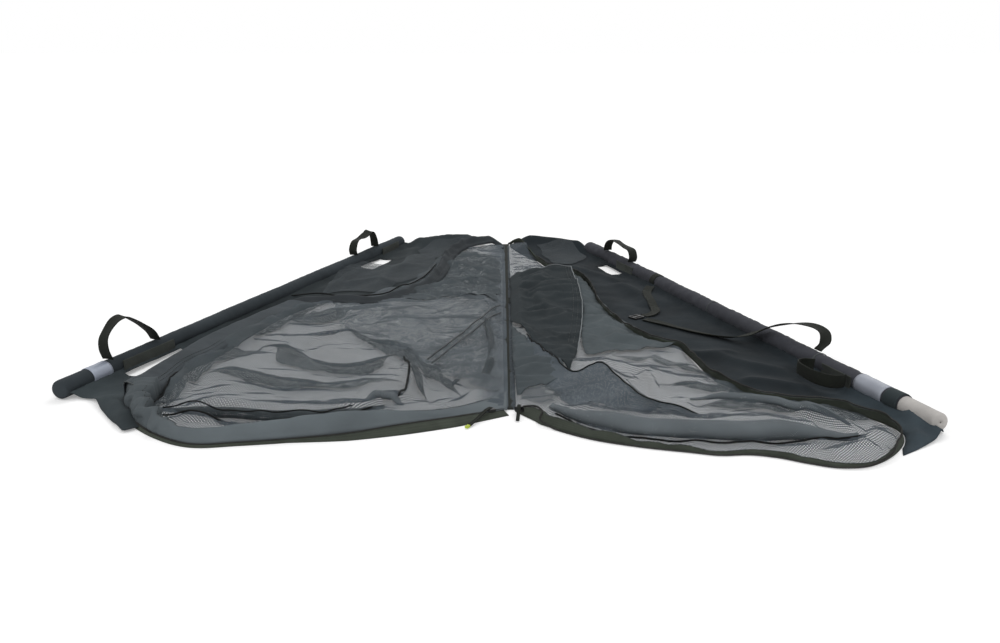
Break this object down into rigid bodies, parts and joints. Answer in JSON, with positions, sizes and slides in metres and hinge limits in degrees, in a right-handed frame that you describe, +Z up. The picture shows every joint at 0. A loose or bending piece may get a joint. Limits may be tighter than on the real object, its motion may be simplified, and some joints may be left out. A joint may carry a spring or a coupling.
{
  "type": "retainer sling",
  "caption": "Zipped mesh sling laid open like a book, with padded float bars in sleeves, lifting handles and a carry strap.",
  "frame": {"origin": "on the floor under the keel seam, 0.64 m from the seam's near end", "axes": "+X towards the half with the carry strap, +Y along the keel seam away from the near end, +Z up"},
  "size_m": [1.2716, 1.4597, 0.0916],
  "materials": {
    "band_cloth": "matt woven polyester",
    "base_cloth": "matt coated woven cloth",
    "coil_grey": "satin",
    "mesh_cloth": "open knitted mesh",
    "olive_tape": "woven tape",
    "pale_foam": "closed-cell foam",
    "plug_plastic": "matt",
    "pole_alloy": "anodised",
    "pull_plastic": "satin",
    "reflective_grey": "retro-reflective cloth",
    "sleeve_cloth": "matt woven polyester",
    "slider_metal": "black painted alloy",
    "webbing_black": "woven webbing"
  },
  "bodies": {
    "keel": {"keel_binding": "band_cloth"},
    "right_near_float": {"right_float_near": "pale_foam", "right_pole_near": "pole_alloy", "right_pole_spigot": "pole_alloy", "right_pole_plug_near": "plug_plastic"},
    "near_handle_left": {"left_near_handle": "webbing_black"},
    "far_handle_left": {"left_far_handle": "webbing_black"},
    "near_handle_right": {"right_near_handle": "webbing_black"},
    "far_handle_right": {"right_far_handle": "webbing_black"},
    "carry_strap": {"right_short_strap": "webbing_black", "right_carry_strap": "webbing_black", "right_strap_adjuster": "slider_metal"},
    "slider_left": {"left_zip_slider": "slider_metal"},
    "slider_right": {"right_zip_slider": "slider_metal"},
    "pull_left": {"left_zip_pull": "webbing_black", "left_zip_pull_tip": "pull_plastic"},
    "pull_right": {"right_zip_pull": "webbing_black"},
    "left_half": {"left_far_band": "sleeve_cloth", "left_far_hole_webbing": "olive_tape", "left_float_far": "pale_foam", "left_float_near": "pale_foam", "left_front_band": "band_cloth", "left_mesh_panel": "mesh_cloth", "left_near_hole_webbing": "olive_tape", "left_pole_far": "pole_alloy", "left_pole_near": "pole_alloy", "left_pole_plug_far": "plug_plastic", "left_pole_plug_near": "plug_plastic", "left_pole_spigot": "pole_alloy", "left_reflective_band": "reflective_grey", "left_side_band": "band_cloth", "left_skirt": "sleeve_cloth", "left_sleeve": "sleeve_cloth", "left_sleeve_far_end": "sleeve_cloth", "left_sleeve_near_end": "sleeve_cloth", "left_zip_coil": "coil_grey", "left_zip_tape": "olive_tape"},
    "right_half": {"right_base_panel": "base_cloth", "right_far_hole_webbing": "olive_tape", "right_flap_binding": "webbing_black", "right_float_far": "pale_foam", "right_inner_flap": "mesh_cloth", "right_mesh_panel": "mesh_cloth", "right_near_hole_webbing": "olive_tape", "right_pole_far": "pole_alloy", "right_pole_plug_far": "plug_plastic", "right_reflective_band": "reflective_grey", "right_skirt": "sleeve_cloth", "right_sleeve": "sleeve_cloth", "right_sleeve_cuff": "webbing_black", "right_sleeve_far_end": "sleeve_cloth", "right_strap_wrap": "webbing_black", "right_zip_coil": "coil_grey", "right_zip_tape": "olive_tape"}
  },
  "joints": [
    {"name": "left_half_fold", "type": "hinge", "parent": "keel", "child": "left_half", "pos_m": [0, 0, 0.0025], "axis": [0, 1, 0], "range_deg": [0, 55]},
    {"name": "right_half_fold", "type": "hinge", "parent": "keel", "child": "right_half", "pos_m": [0, 0, 0.0025], "axis": [0, -1, 0], "range_deg": [0, 55]},
    {"name": "right_float_slide", "type": "slide", "parent": "right_half", "child": "right_near_float", "axis": [0.2907, -0.9568, 0], "range_m": [0, 0.55]},
    {"name": "left_near_handle_swing", "type": "hinge", "parent": "left_half", "child": "near_handle_left", "pos_m": [-0.61073, -0.43972, 0.0159], "axis": [-0.319, -0.9478, 0], "range_deg": [-20, 80]},
    {"name": "left_far_handle_swing", "type": "hinge", "parent": "left_half", "child": "far_handle_left", "pos_m": [-0.33898, 0.36778, 0.0159], "axis": [-0.319, -0.9478, 0], "range_deg": [-20, 80]},
    {"name": "right_near_handle_swing", "type": "hinge", "parent": "right_half", "child": "near_handle_right", "pos_m": [0.51581, -0.51656, 0.0159], "axis": [-0.2907, 0.9568, 0], "range_deg": [0, 140]},
    {"name": "right_far_handle_swing", "type": "hinge", "parent": "right_half", "child": "far_handle_right", "pos_m": [0.26639, 0.30438, 0.0159], "axis": [-0.2907, 0.9568, 0], "range_deg": [-20, 80]},
    {"name": "carry_strap_swing", "type": "hinge", "parent": "right_half", "child": "carry_strap", "pos_m": [0.32976, 0.0958, 0.0159], "axis": [-0.2907, 0.9568, 0], "range_deg": [0, 60]},
    {"name": "left_slider_slide", "type": "slide", "parent": "left_half", "child": "slider_left", "axis": [-0.8564, -0.5138, 0.0514], "range_m": [0, 0.032]},
    {"name": "right_slider_slide", "type": "slide", "parent": "right_half", "child": "slider_right", "axis": [0.606, -0.7765, 0.1729], "range_m": [0, 0.024]},
    {"name": "left_pull_swing", "type": "hinge", "parent": "slider_left", "child": "pull_left", "pos_m": [-0.02586, -0.65912, 0.01202], "axis": [-0.8512, 0.5248, 0], "range_deg": [0, 35]},
    {"name": "right_pull_swing", "type": "hinge", "parent": "slider_right", "child": "pull_right", "pos_m": [0.01331, -0.65411, 0.01362], "axis": [-0.9977, 0.068, 0], "range_deg": [0, 35]}
  ]
}
